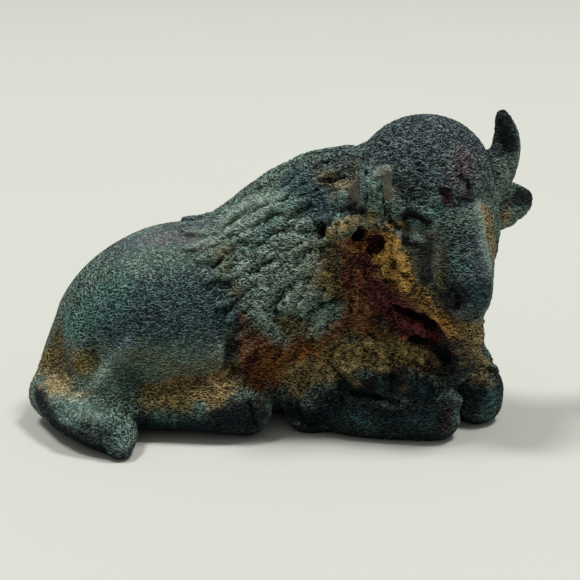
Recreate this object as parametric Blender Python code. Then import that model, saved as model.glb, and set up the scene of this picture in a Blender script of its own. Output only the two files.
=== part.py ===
"""A reclining bison figurine, cast and raku fired as one piece of clay.

The figure lies on its belly with its legs folded, faces +X and turns its head to its right,
towards -Y.  Masses of clay are set down as simple closed bodies and fused, strokes and locks
of hair are carved into their skin, and the underside is pressed flat at the ground, z = 0.

Lengths in the masses and the carving are shares of the figure's own length, 180 to the
whole.  Near is the figure's right flank, at -Y, and far its left, at +Y.
"""

import math

import bmesh
import bpy
import numpy as np
from mathutils import Matrix, Vector
from mathutils.bvhtree import BVHTree

# Driving size: the length that the masses are laid out over, rump to far ear, in metres.
LENGTH = 0.180
SHARE = LENGTH / 180

# The head's place, midway between the roots of the horns, and its turn in degrees.
HEAD_AT = (49.5, -14.0, 82.5)
HEAD_YAW = -55.0

# Horns and ears: how far each reaches sideways from the head's middle, and a horn's height.
NEAR_HORN_REACH = 28.0
NEAR_HORN_HEIGHT = 13.0
FAR_HORN_REACH = 29.5
FAR_HORN_HEIGHT = 26.0
NEAR_EAR_REACH = 38.0
FAR_EAR_REACH = 45.0

# Locks of hair: the crown on the flank that they flow from, their length, half their width,
# their height, and their spacing on cape and beard.
CROWN = (27.0, 78.0)
LOCK_LENGTH = 17.0
LOCK_HALF_WIDTH = 2.8
LOCK_HEIGHT = 1.25
LOCK_SPACING = 5.2
BEARD_SPACING = 4.6

# Grain of the clay while it is worked, and the number of facets it ends with.
COARSE_GRAIN = 2.4
MIDDLE_GRAIN = 1.5
FINE_GRAIN = 0.95
TRIANGLES = 9400

NEAR = -1
FAR = 1
BODY_COLOUR = (0.075, 0.115, 0.125, 1.0)
BODY_ROUGHNESS = 0.6


def clear_scene():
    for old in list(bpy.data.objects):
        bpy.data.objects.remove(old)


def smooth_rows(rows, between):
    """Rows of numbers with a smooth Catmull-Rom row set in `between` times after each."""
    rows = np.array(rows, float)
    padded = np.vstack([2 * rows[0] - rows[1], rows, 2 * rows[-1] - rows[-2]])
    smooth = []
    for before, start, end, after in zip(padded, padded[1:], padded[2:], padded[3:]):
        for step in range(between):
            t = step / between
            turn = 2 * before - 5 * start + 4 * end - after
            curve = -before + 3 * start - 3 * end + after
            smooth.append(start + 0.5 * t * (end - before + t * (turn + t * curve)))
    smooth.append(rows[-1])
    return np.array(smooth)


def clay(name, mesh):
    """Sets a body of clay down in the scene."""
    bmesh.ops.recalc_face_normals(mesh, faces=mesh.faces)
    data = bpy.data.meshes.new(name)
    mesh.to_mesh(data)
    mesh.free()
    made = bpy.data.objects.new(name, data)
    bpy.context.scene.collection.objects.link(made)
    return made


def ball(name, centre, radii, lean=0.0):
    """An egg of clay, which leans about Y by some degrees."""
    mesh = bmesh.new()
    bmesh.ops.create_icosphere(mesh, subdivisions=4, radius=1.0)
    tilt = Matrix.Rotation(math.radians(lean), 4, "Y")
    mesh.transform(Matrix.Translation(centre) @ tilt @ Matrix.Diagonal((*radii, 1.0)))
    return clay(name, mesh)


def loft(name, sections, up=(0, 0, 1), between=4, around=24, cap=3):
    """A closed body through oval sections (x, y, z, half width, half height) with round ends."""
    rows = smooth_rows(sections, between)
    centres = rows[:, :3]
    along = np.gradient(centres, axis=0)
    along /= np.linalg.norm(along, axis=1)[:, None]
    side = np.cross(np.array(up, float), along)
    side /= np.linalg.norm(side, axis=1)[:, None]
    top = np.cross(along, side)

    def rounded_end(row, sign, steps):
        for step in steps:
            angle = math.pi / 2 * step / (cap + 1)
            reach = min(rows[row, 3:]) * math.sin(angle)
            yield centres[row] + sign * reach * along[row], math.cos(angle), row

    last = len(rows) - 1
    stations = [
        *rounded_end(0, -1, range(cap, 0, -1)),
        *((centres[row], 1.0, row) for row in range(last + 1)),
        *rounded_end(last, 1, range(1, cap + 1)),
    ]
    mesh = bmesh.new()
    rings = []
    for centre, shrink, row in stations:
        ring = []
        for k in range(around):
            angle = 2 * math.pi * k / around
            wide = side[row] * rows[row, 3] * math.cos(angle)
            high = top[row] * rows[row, 4] * math.sin(angle)
            ring.append(mesh.verts.new(centre + shrink * (wide + high)))
        rings.append(ring)
    for low, high in zip(rings, rings[1:]):
        for k in range(around):
            n = (k + 1) % around
            mesh.faces.new((low[k], low[n], high[n], high[k]))
    mesh.faces.new(rings[0][::-1])
    mesh.faces.new(rings[-1])
    return clay(name, mesh)


def skull_frame():
    """The head's own frame, forward, left and up from HEAD_AT, as a matrix."""
    return Matrix.Translation(HEAD_AT) @ Matrix.Rotation(math.radians(HEAD_YAW), 4, "Z")


def on_head(piece):
    """Sets a piece modelled in the head's own frame on the figure."""
    piece.data.transform(skull_frame())
    return piece


def settle(body):
    """Applies a body's modifiers."""
    graph = bpy.context.evaluated_depsgraph_get()
    data = bpy.data.meshes.new_from_object(body.evaluated_get(graph))
    body.modifiers.clear()
    body.data = data
    return body


def knead(body, grain, softening):
    """Works a body into one even skin, then rubs it soft."""
    remesh = body.modifiers.new("knead", "REMESH")
    remesh.mode = "VOXEL"
    remesh.voxel_size = grain
    smooth = body.modifiers.new("rub", "SMOOTH")
    smooth.factor = 0.5
    smooth.iterations = softening
    return settle(body)


def fuse(name, pieces, grain, softening):
    """Joins bodies of clay into one body with a soft skin."""
    joined = bmesh.new()
    for piece in pieces:
        joined.from_mesh(piece.data)
        bpy.data.objects.remove(piece)
    body = clay(name, joined)
    return knead(body, grain, softening)


def trunk():
    back = loft(
        "back",
        [
            (-75, 0, 18, 14, 17),
            (-67, 0, 24, 21, 26),
            (-56, 0, 29, 26, 33),
            (-43, 0, 32, 29, 37.5),
            (-30, 0, 33, 29, 37.5),
            (-17, 0, 35, 28, 38),
            (-4, 0, 39.5, 28, 41.5),
            (10, 0, 44, 28, 47.5),
            (24, -1, 45.5, 27, 49),
            (37, -3, 38, 24, 40),
            (47, -5, 33, 16, 28),
        ],
    )
    chest = ball("chest", (48, -5, 27), (20, 19.5, 29))
    mane = ball("mane", (33, -12, 50), (22, 18, 34), lean=-8)
    near_shoulder = ball("near_shoulder", (12, -13, 49), (23, 17.5, 32), lean=-6)
    far_shoulder = ball("far_shoulder", (14, 14, 46), (23, 17, 32), lean=-6)
    near_thigh = ball("near_thigh", (-42, -15, 36), (31, 18.5, 27), lean=8)
    far_thigh = ball("far_thigh", (-43, 15, 34), (30, 18, 26), lean=8)
    stifle = ball("stifle", (-28, -20, 27), (14, 13, 16))
    buttock = ball("buttock", (-68, -9, 27), (13, 17, 20), lean=-15)
    masses = [back, chest, mane, near_shoulder, far_shoulder, near_thigh, far_thigh, stifle, buttock]
    return fuse("trunk", masses, COARSE_GRAIN, 14)


def neck():
    """The thick neck, with the nape that rises behind the dome of the head."""
    throat = loft("neck", [(16, -3, 63, 25, 32.5), (30, -6, 69, 24, 30), (44, -11, 74, 22, 26)])
    nape = ball("nape", (35, -2, 70), (26, 21, 28))
    return [throat, nape]


def hind_feet():
    hock = ball("near_hock", (-62, -23, 15), (12, 10, 14), lean=-30)
    near = loft(
        "near_hind_foot",
        [
            (-62, -24, 10, 8, 8),
            (-46, -25, 10, 9, 8.5),
            (-32, -26, 11.5, 9.5, 10),
            (-22, -27, 12, 9.5, 11.5),
            (-14, -27, 9, 8, 9.5),
        ],
    )
    far = loft(
        "far_hind_foot",
        [
            (-58, 26, 9, 8, 8),
            (-40, 28, 9, 8, 7.5),
            (-26, 29, 9, 8.5, 8.5),
            (-18, 29, 7.5, 8, 7.5),
        ],
    )
    return [hock, near, far]


def forelegs():
    """Both forelegs are folded at the knee, with the shin drawn back under the forearm."""
    near_forearm = loft(
        "near_forearm",
        [
            (19, -20, 23, 10, 11),
            (34, -25, 18, 10, 11),
            (45, -28, 14, 10, 11),
            (50, -28, 11, 9, 10),
        ],
    )
    near_shin = loft(
        "near_shin",
        [
            (51, -28, 7.5, 9, 9),
            (34, -27, 6.5, 8.5, 8),
            (18, -24, 7, 8, 7.5),
        ],
    )
    near_hoof = ball("near_fore_hoof", (8, -21, 9.5), (10, 9, 12), lean=15)
    far_forearm = loft(
        "far_forearm",
        [
            (44, 6, 30, 11, 14),
            (56, -2, 21, 9.5, 12),
            (67, -12, 11, 9.5, 11),
        ],
    )
    far_shin = loft(
        "far_shin",
        [
            (68, -13, 6.5, 9.5, 8),
            (52, 0, 6.5, 7.5, 7),
            (36, 8, 6.5, 7.5, 7),
        ],
    )
    return [near_forearm, near_shin, near_hoof, far_forearm, far_shin]


def tail():
    """The dock runs down the rump and its tuft swings forward along the near side."""
    dock = loft(
        "dock",
        [
            (-74, 3, 46, 4, 4),
            (-81, 2, 33, 4.5, 4.5),
            (-85.5, -4, 20, 5, 5),
            (-86, -13, 12, 6, 7),
        ],
        up=(0, 1, 0.3),
    )
    tuft = loft(
        "tuft",
        [
            (-85, -13, 10.5, 9, 9.5),
            (-75, -23, 10, 13, 9.5),
            (-67, -33, 8, 13, 8),
            (-60, -42, 5.5, 9.5, 6),
            (-57, -48, 3.5, 5, 4),
        ],
    )
    return [dock, tuft]


def head():
    """The woolly dome, the face down to the muzzle, the jaw and the beard."""
    dome = ball("dome", (-6, 0, 6.5), (22, 24, 21))
    jaw = ball("jaw", (3, 0, -15), (13, 17, 15))
    face = loft(
        "face",
        [
            (2, 0, 6, 19, 17),
            (9, 0, -6, 17, 14),
            (15, -0.8, -18, 12.6, 11.5),
            (19, -2.2, -26, 9.4, 9.8),
            (20, -2.8, -30, 8.7, 9.2),
        ],
        up=(1, 0, 0),
    )
    beard = loft(
        "beard",
        [
            (9, 0, -31, 11, 10),
            (11, 0, -43, 11, 9.5),
            (11, 0, -55, 9, 8),
            (9, 0, -64, 5, 5),
        ],
        up=(1, 0, 0),
    )
    masses = [dome, jaw, face, beard]
    for side in (NEAR, FAR):
        masses.append(ball("temple", (-5, side * 19, 5), (9, 10, 11)))
        masses.append(ball("cheek", (8, side * 9.5, -15), (10, 9, 13)))
    return [on_head(piece) for piece in masses]


def horn(side, reach, height):
    """A horn that grows sideways out of the wool, then turns up to a blunt tip."""
    sections = [
        (0, side * (reach - 13), -2, 9, 9),
        (1, side * (reach - 6), 1, 7, 7.5),
        (2.5, side * (reach - 1), 0.33 * height, 5.8, 5.8),
        (3.5, side * reach, 0.66 * height, 5, 4.8),
        (4, side * (reach - 3), height, 2.8, 2.8),
    ]
    return on_head(loft("horn", sections, up=(1, 0, 0)))


def ear(side, reach, sweep):
    """A leaf of an ear under the horn, swept back by `sweep` at its tip."""
    sections = [
        (-1, side * (reach - 23), -7.5, 6, 8),
        (-1 - 0.33 * sweep, side * (reach - 15), -7.5, 5, 9.5),
        (-1 - 0.66 * sweep, side * (reach - 7), -7.5, 4, 8),
        (-1 - sweep, side * reach, -7.5, 2.5, 4.5),
    ]
    return on_head(loft("ear", sections))


def nearness(points, path):
    """For each point, its distance to a path and how far along the path that is, 0 to 1."""
    starts = path[:-1]
    spans = path[1:] - starts
    lengths = np.maximum(np.linalg.norm(spans, axis=1), 1e-6)
    offsets = points[:, None] - starts
    shares = np.clip((offsets * spans).sum(2) / lengths**2, 0, 1)
    gaps = np.linalg.norm(offsets - shares[..., None] * spans, axis=2)
    nearest = gaps.argmin(1)
    rows = np.arange(len(points))
    walked = np.concatenate([[0], np.cumsum(lengths)])
    along = (walked[nearest] + shares[rows, nearest] * lengths[nearest]) / walked[-1]
    return gaps[rows, nearest], along


class Skin:
    """The skin of the fused clay while it is carved."""

    def __init__(self, body):
        self.body = body
        self.read()

    def read(self):
        """Takes the skin as it now is: its points, their outward directions and a finder."""
        mesh = self.body.data
        self.points = np.empty(3 * len(mesh.vertices))
        mesh.vertices.foreach_get("co", self.points)
        self.points = self.points.reshape(-1, 3)
        self.outward = np.empty(3 * len(mesh.vertices))
        mesh.vertex_normals.foreach_get("vector", self.outward)
        self.outward = self.outward.reshape(-1, 3)
        faces = [tuple(face.vertices) for face in mesh.polygons]
        self.finder = BVHTree.FromPolygons(self.points.tolist(), faces)

    def write(self):
        """Lays the carved points back into the body."""
        self.body.data.vertices.foreach_set("co", self.points.ravel())
        self.body.data.update()

    def on_flank(self, line, side):
        """The skin under a line of (x, z) points drawn on one flank."""
        found = []
        for x, z in line:
            hit = self.finder.ray_cast(Vector((x, side * 200, z)), Vector((0, -side, 0)))[0]
            if hit is not None:
                found.append(hit)
        return np.array(found)

    def on_back(self, line):
        """The skin under a line of (x, y) points drawn from above."""
        hits = [self.finder.ray_cast(Vector((x, y, 200)), Vector((0, 0, -1)))[0] for x, y in line]
        return np.array([hit for hit in hits if hit is not None])

    def on_breast(self, line):
        """The skin under a line of (y, z) points drawn from the front."""
        hits = [self.finder.ray_cast(Vector((200, y, z)), Vector((-1, 0, 0)))[0] for y, z in line]
        return np.array([hit for hit in hits if hit is not None])

    def on_skull(self, line, side=FAR):
        """The skin nearest to (forward, left, up) points of the head, mirrored for its right."""
        frame = skull_frame()
        placed = [frame @ Vector((forward, side * left, up)) for forward, left, up in line]
        return np.array([self.finder.find_nearest(point)[0] for point in placed])

    def around(self, path, reach):
        """The numbers of the points within reach of a path."""
        low = path.min(0) - reach
        high = path.max(0) + reach
        return np.flatnonzero(((self.points > low) & (self.points < high)).all(1))

    def stroke(self, path, width, height):
        """Pushes the skin out along a path, or in where the height is negative."""
        if len(path) == 1:
            path = np.vstack([path, path])
        touched = self.around(path, 2.5 * width)
        gap, _ = nearness(self.points[touched], path)
        push = height * np.exp(-((gap / width) ** 2))
        self.points[touched] += self.outward[touched] * push[:, None]

    def lay_locks(self, paths, half_width, height):
        """Lays locks like shingles: each swells, then narrows to its tip, and the top one shows."""
        relief = np.zeros(len(self.points))
        for path in paths:
            touched = self.around(path, half_width)
            if len(touched) == 0:
                continue
            gap, along = nearness(self.points[touched], path)
            half = half_width * (1 - 0.7 * along**3)
            crown = height * (0.6 + 0.4 * along) * np.sqrt(np.clip(1 - (gap / half) ** 2, 0, 1))
            relief[touched] = np.maximum(relief[touched], crown)
        self.points += self.outward * relief[:, None]


def wavy(draw, start, heading, length, spread):
    """A line of hair from a start point: it swings one way, then back, as it follows a heading."""
    waves = (18, -8, -14)
    step = length / len(waves)
    line = [start]
    for wave in waves:
        angle = math.radians(heading + wave + draw.uniform(-spread, spread))
        x, y = line[-1]
        line.append((x + step * math.cos(angle), y + step * math.sin(angle)))
    return line


def in_cape(x, z, side):
    """Whether a place on the flank is in the woolly cape, clear of the near ear and the forearm."""
    behind = -25 + 0.45 * max(0.0, 60 - z)
    by_the_ear = side == NEAR and x > 14 and z > 66
    return x > behind and 31 < z < 84 and x < 42 and not by_the_ear


def combed_cape(draw, side, rings, sweep, length, spacing, spread):
    """Lines of hair that flow out from the crown behind the horn and bend to the ground."""
    crown_x, crown_z = CROWN
    lines = []
    for ring in rings:
        count = max(1, round(math.radians(sweep[1] - sweep[0]) * ring / spacing))
        for k in range(count):
            angle = sweep[0] + (sweep[1] - sweep[0]) * (k + draw.uniform(0.1, 0.9)) / count
            x = crown_x + ring * math.cos(math.radians(angle))
            z = crown_z + ring * math.sin(math.radians(angle))
            if in_cape(x, z, side):
                lines.append(wavy(draw, (x, z), angle + 16, length * draw.uniform(0.75, 1.2), spread))
    return lines


def carve_cape(skin):
    """Locks of the cape: long ones behind the hump, short tumbled ones down the shoulder."""
    paths = []
    for side, seed, scale in ((NEAR, 11, 1.0), (FAR, 12, 1.15)):
        draw = np.random.default_rng(seed)
        gap = LOCK_SPACING * scale
        rows = np.arange(14, 62, 8.5 * scale)
        short_rows = np.arange(12, 52, 6 * scale)
        lines = combed_cape(draw, side, rows, (152, 228), LOCK_LENGTH, gap, 8)
        lines += combed_cape(draw, side, short_rows, (228, 298), 0.55 * LOCK_LENGTH, gap, 26)
        paths += [skin.on_flank(line, side) for line in lines]
    draw = np.random.default_rng(13)
    for x in np.arange(22, -22, -8.5):
        for y in np.arange(-12, 13, LOCK_SPACING):
            start = (x + draw.uniform(-3, 3), y + draw.uniform(-1, 1))
            paths.append(skin.on_back(wavy(draw, start, 180 - 1.5 * y, LOCK_LENGTH, 8)))
    skin.lay_locks([path for path in paths if len(path) > 1], LOCK_HALF_WIDTH, LOCK_HEIGHT)


def carve_breast(skin):
    """Tumbled locks down the front of the chest, beside the beard."""
    draw = np.random.default_rng(14)
    paths = []
    for z in np.arange(64, 26, -7):
        for y in np.arange(-14, 20, LOCK_SPACING):
            start = (y + draw.uniform(-1.5, 1.5), z + draw.uniform(-2, 2))
            paths.append(skin.on_breast(wavy(draw, start, 270, 0.6 * LOCK_LENGTH, 22)))
    skin.lay_locks([path for path in paths if len(path) > 1], LOCK_HALF_WIDTH, LOCK_HEIGHT)


def carve_beard(skin):
    """Rows of locks that hang down the beard."""
    paths = []
    for row, up in enumerate((-37, -44, -51, -58)):
        shift = BEARD_SPACING / 2 if row % 2 else 0
        for k in range(-2, 3):
            left = k * BEARD_SPACING + shift
            line = [(24, left, up), (24, 0.9 * left + 1, up - 5), (24, 0.8 * left, up - 10)]
            paths.append(skin.on_skull(line))
    skin.lay_locks(paths, LOCK_HALF_WIDTH, 1.5 * LOCK_HEIGHT)


def carve_face(skin, side):
    """One side of the face: eye, brow, cheek, nostril and the line of the mouth."""
    features = [
        ([(10, 17, -8)], 4.2, -1.4),
        ([(14.5, 14, -3), (9.5, 18, -1), (5.5, 21, -3.5)], 1.7, 1.5),
        ([(13, 15, -5.4), (9.5, 18, -4.4), (7, 20, -5)], 1.0, -1.7),
        ([(10.2, 17.4, -8.4)], 2.3, 1.9),
        ([(14.5, 14.5, -7.5), (12, 15.8, -11), (8.5, 18.5, -12), (5.8, 20.5, -9.5)], 1.4, 1.5),
        ([(16.5, 13.8, -8), (17.3, 12.3, -17), (17, 9.8, -27)], 1.7, 0.9),
        ([(7, 19.5, -14.5), (7, 19.2, -19)], 2.4, 2.2),
        ([(4.2, 21, -13.5), (4.2, 21, -20), (7.5, 18, -23)], 1.6, -1.6),
        ([(25, 7.5, -28.5), (23, 9, -31)], 1.6, -2.6),
        ([(27, 3, -36), (22, 8, -35), (16, 10.5, -32)], 1.0, -1.3),
        ([(17, 12, 0.5), (18.5, 6.5, 4.5), (20, 0, 3.5)], 2.0, -0.7),
        ([(16, 13, 4), (17.5, 7, 8.5), (19, 0, 7.5)], 2.6, 1.0),
    ]
    for line, width, height in features:
        skin.stroke(skin.on_skull(line, side), width, height)


def carve_muzzle(skin):
    """The ridge of the nose and the swell of the muzzle."""
    skin.stroke(skin.on_skull([(20, 0, -2), (24, 0, -12), (27, -1, -20)]), 4.0, 1.3)
    skin.stroke(skin.on_skull([(30, -1, -28)]), 8.0, 0.9)


def carve_ears(skin):
    """The near ear is a cup pressed into the wool, with two holes; the far one has a slit."""
    near_strokes = [
        ([(28, 73)], 5.0, -1.5),
        ([(17.2, 76.5), (21.6, 80), (27, 81)], 1.9, 1.7),
        ([(36.3, 76.5), (36.9, 71), (35, 66.5)], 1.7, 1.5),
        ([(23.3, 73.7)], 1.9, -4.6),
        ([(29.5, 70)], 2.9, -3.2),
        ([(10.8, 74.7)], 1.7, -2.8),
        ([(20, 81.6), (25.5, 81.2)], 1.8, -2.6),
        ([(18, 86)], 3.4, 2.6),
        ([(11, 89.5), (16.5, 88), (21, 90)], 1.2, -1.5),
        ([(31.8, 93), (32.2, 88)], 1.8, -1.2),
    ]
    for line, width, height in near_strokes:
        skin.stroke(skin.on_flank(line, NEAR), width, height)
    skin.stroke(skin.on_skull([(6, 24, -5), (5, 30, -5.5), (3.5, 38, -7)]), 1.3, -1.8)
    skin.stroke(skin.on_skull([(5, 27, -10)]), 3.0, -1.5)


def carve_chest(skin):
    """The two deep hollows between beard, chest and forearm, and the folds beside them."""
    strokes = [
        ([(35.6, 48), (43, 43.5), (49, 40)], 3.0, -5.5),
        ([(42, 34.8), (49, 34), (53.5, 28.5)], 3.4, -6.0),
        ([(39, 41.5), (46, 38)], 1.9, 1.0),
        ([(30, 43.5), (27.5, 38)], 1.7, -2.2),
        ([(9, 29), (13.5, 28), (16.8, 23)], 1.4, -1.5),
        ([(-11.6, 46), (-7, 40), (-3, 34.5)], 2.8, 1.6),
        ([(3, 50)], 4.2, 1.4),
        ([(12, 45)], 4.2, 1.4),
        ([(12, 54)], 3.8, 1.2),
        ([(3.5, 43.5), (8.5, 49), (15.6, 51.5)], 1.2, -1.6),
    ]
    for line, width, height in strokes:
        skin.stroke(skin.on_flank(line, NEAR), width, height)


def carve_forelegs(skin):
    """Creases where the folded legs press together, and the cleft hooves."""
    near_strokes = [
        ([(18.7, 16.8), (27, 17), (37, 15.6)], 1.3, -1.8),
        ([(35.5, 30), (35.3, 24)], 1.5, -1.6),
        ([(16.6, 26), (17, 20), (18, 14)], 1.3, -1.8),
        ([(2.5, 10), (7, 4)], 1.1, -1.2),
        ([(56, 20), (57, 12), (57, 5)], 1.4, -1.0),
    ]
    for line, width, height in near_strokes:
        skin.stroke(skin.on_flank(line, NEAR), width, height)
    skin.stroke(skin.on_flank([(62, 15), (52, 15.5), (40, 16)], FAR), 1.3, -1.6)


def carve_rump(skin):
    """The flank pit, the seat bone with its crescent crease, the shank and the hind hoof."""
    near_strokes = [
        ([(-19.5, 34.5), (-20, 28)], 2.7, -3.6),
        ([(-22.8, 37.5), (-24.3, 32), (-23.3, 26.5)], 1.4, 1.1),
        ([(-15, 33.5), (-17, 27.5)], 1.6, 1.2),
        ([(-73, 27), (-73, 23.5)], 3.6, 1.6),
        ([(-69, 31), (-67, 26), (-69, 21), (-75, 18.5)], 1.8, -1.7),
        ([(-55, 35), (-61, 28), (-67, 21)], 3.2, 2.2),
        ([(-49, 29), (-55, 22.5)], 3.4, -1.0),
        ([(-14, 15), (-12, 6)], 1.3, -1.4),
    ]
    for line, width, height in near_strokes:
        skin.stroke(skin.on_flank(line, NEAR), width, height)
    skin.stroke(skin.on_flank([(-54, 33), (-60, 26), (-64, 18)], FAR), 3.0, 1.6)
    skin.stroke(skin.on_flank([(-54, 18), (-36, 18.5), (-20, 17)], FAR), 1.5, -1.4)


def carve_tail(skin):
    """Three long creases comb the tuft, whose lower edge is pinched to a lip."""
    for x, z in ((-80, 14), (-76, 16), (-71, 17)):
        skin.stroke(skin.on_flank([(x, z), (x + 9, z - 4), (x + 17, z - 8)], NEAR), 1.1, -0.9)
    skin.stroke(skin.on_flank([(-77, 10.8), (-69, 8.8), (-61, 6.6)], NEAR), 1.5, 1.0)
    skin.stroke(skin.on_flank([(-79, 5.5), (-71, 4), (-63, 2.5)], NEAR), 2.0, -1.4)


def carve(figure):
    skin = Skin(figure)
    carve_cape(skin)
    carve_breast(skin)
    carve_beard(skin)
    skin.write()
    skin.read()
    for side in (NEAR, FAR):
        carve_face(skin, side)
    carve_muzzle(skin)
    carve_ears(skin)
    carve_chest(skin)
    carve_forelegs(skin)
    carve_rump(skin)
    carve_tail(skin)
    skin.write()


def flatten(figure, skim=0.0):
    """Presses the underside flat at the ground, with all that stands up to `skim` above it."""
    for vertex in figure.data.vertices:
        if vertex.co.z < skim:
            vertex.co.z = 0


def facet(figure):
    """Thins the skin to flat facets, small where the carving is fine."""
    thin = figure.modifiers.new("thin", "DECIMATE")
    triangles = sum(len(face.vertices) - 2 for face in figure.data.polygons)
    thin.ratio = min(1.0, TRIANGLES / triangles)
    settle(figure)


def centre(figure):
    """Sets the figure at its real size, with the middle of its underside's box at the origin."""
    corners = np.array([vertex.co[:] for vertex in figure.data.vertices])
    middle = (corners.min(0) + corners.max(0)) / 2
    shift = Matrix.Translation((-middle[0], -middle[1], 0))
    figure.data.transform(Matrix.Scale(SHARE, 4) @ shift)


def bison():
    body = fuse("body", [trunk(), *neck(), *hind_feet(), *forelegs(), *tail()], MIDDLE_GRAIN, 5)
    horns = [
        horn(NEAR, NEAR_HORN_REACH, NEAR_HORN_HEIGHT),
        horn(FAR, FAR_HORN_REACH, FAR_HORN_HEIGHT),
    ]
    ears = [ear(NEAR, NEAR_EAR_REACH, 4), ear(FAR, FAR_EAR_REACH, 0)]
    figure = fuse("bison", [body, *head(), *horns, *ears], FINE_GRAIN, 3)
    carve(figure)
    knead(figure, FINE_GRAIN, 1)
    flatten(figure)
    facet(figure)
    flatten(figure, skim=0.25)
    centre(figure)
    figure.data.shade_smooth()
    return figure


def glaze(figure):
    paint = bpy.data.materials.new("raku_glaze")
    paint.use_nodes = True
    shader = paint.node_tree.nodes["Principled BSDF"]
    shader.inputs["Base Color"].default_value = BODY_COLOUR
    shader.inputs["Roughness"].default_value = BODY_ROUGHNESS
    figure.data.materials.clear()
    figure.data.materials.append(paint)


def main():
    clear_scene()
    glaze(bison())


main()
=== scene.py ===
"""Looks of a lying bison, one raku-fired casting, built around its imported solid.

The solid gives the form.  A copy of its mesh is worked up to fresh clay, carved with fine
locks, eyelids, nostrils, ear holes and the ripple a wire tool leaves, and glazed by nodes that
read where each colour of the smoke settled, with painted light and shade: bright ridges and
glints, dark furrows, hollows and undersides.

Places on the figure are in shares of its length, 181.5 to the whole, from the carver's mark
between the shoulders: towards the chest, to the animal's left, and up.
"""

import math
from functools import partial

import bmesh
import bpy
import numpy as np
from mathutils import Matrix, Vector, noise
from mathutils.bvhtree import BVHTree


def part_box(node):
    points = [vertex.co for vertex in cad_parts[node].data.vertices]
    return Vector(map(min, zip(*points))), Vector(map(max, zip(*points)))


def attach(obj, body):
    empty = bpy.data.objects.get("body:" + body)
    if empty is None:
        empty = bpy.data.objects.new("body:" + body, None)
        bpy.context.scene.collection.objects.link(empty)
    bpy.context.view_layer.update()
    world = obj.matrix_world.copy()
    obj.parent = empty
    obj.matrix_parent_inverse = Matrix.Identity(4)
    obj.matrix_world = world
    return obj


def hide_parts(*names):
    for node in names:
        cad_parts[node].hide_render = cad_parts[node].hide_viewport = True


bl_info = {
    "name": "Raku Bison",
    "version": (1, 0, 0),
    "blender": (4, 5, 0),
    "location": "View3D > Sidebar > Bison",
    "description": "Carves and glazes a lying raku bison around its packed solid",
    "category": "Add Mesh",
}

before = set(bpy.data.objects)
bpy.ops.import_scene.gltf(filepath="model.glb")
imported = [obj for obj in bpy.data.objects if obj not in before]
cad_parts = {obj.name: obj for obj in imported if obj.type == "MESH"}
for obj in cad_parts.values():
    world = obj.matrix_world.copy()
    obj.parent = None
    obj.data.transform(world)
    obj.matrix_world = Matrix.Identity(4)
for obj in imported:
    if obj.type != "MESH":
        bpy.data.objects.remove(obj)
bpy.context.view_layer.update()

LOW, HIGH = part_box("bison")
SHARES = 181.5
SHARE = (HIGH.x - LOW.x) / SHARES
MARK = Vector((2.76, 7.11, 0.0))

HEAD_AT = (49.5, -14.0, 82.5)
HEAD_YAW = -55.0
CROWN = (27.0, 78.0)
NEAR = -1
FAR = 1

# Lines of sight start this far out, and skin this close to the ground rests on it.
OUTSIDE = 200
RESTS_BELOW = 0.3

# The cape's hair round the crown, in degrees: back over the shoulder, then down to the breast.
BACKWARD = (152, 228)
DOWNWARD = (228, 298)
LOCK_SPACING = 5.2

# Edges of strokes and stains are ragged: the width of a tooth, and its share of the reach.  A
# stain spreads to this many times the reach that is given for it.
RAGGED_SIZE = 3.2
RAGGED_SHARE = 0.4
STAIN_SPREAD = 1.15

# Painted highlights: glint colours that only the ridges of the glaze take.
GLINT_COLOURS = ("bloom", "ember", "rose")

# Widths in the glaze, in millimetres.  Each kind of tool mark has its width, its share of a ridge's
# height and its turn of the noise, and all are drawn out level.
CLOUD = 8
FLECK = 1.5
GRAIN = 1.6
TOOL_MARKS = ((1.12, 0.6, 41), (0.62, 0.4, 42))
DRAWN_OUT = (0.62, 0.62, 1.0)

# Painted shade on the underside of each ridge, as under light from above: it shows in how the marks this
# many metres further up differ.
LEE_SHADE_STEP = 0.0003

# The stage, in metres.
FLOOR_REACH = 6.0
SOFTBOX_AT = (1.7, 0.2, 4.5)
SOFTBOX_WIDTH = 1.2
SOFTBOX_AIM = Vector((0.0, 0.0, 0.04))
ROOM_COLOUR = "f2f4f2"

# The photograph's camera: it looks along +Y and down, at a point over the mark.
LOOK_AT = Vector((0.0, 0.0, 45.0))
LOOK_DOWN = 17.0
DISTANCE = 522.0
LENS = 90.0
SENSOR = 36.0


def linear(code):
    """An sRGB hex colour as linear numbers, for a shader socket."""
    parts = [int(code[k : k + 2], 16) / 255 for k in (0, 2, 4)]
    values = [c / 12.92 if c <= 0.04045 else ((c + 0.055) / 1.055) ** 2.4 for c in parts]
    return (*values, 1.0)


def colour_property(name, description, code):
    """A colour to set, with its default as an sRGB hex code."""
    return bpy.props.FloatVectorProperty(
        name=name, description=description, subtype="COLOR", size=4, min=0, max=1, default=linear(code)
    )


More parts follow.
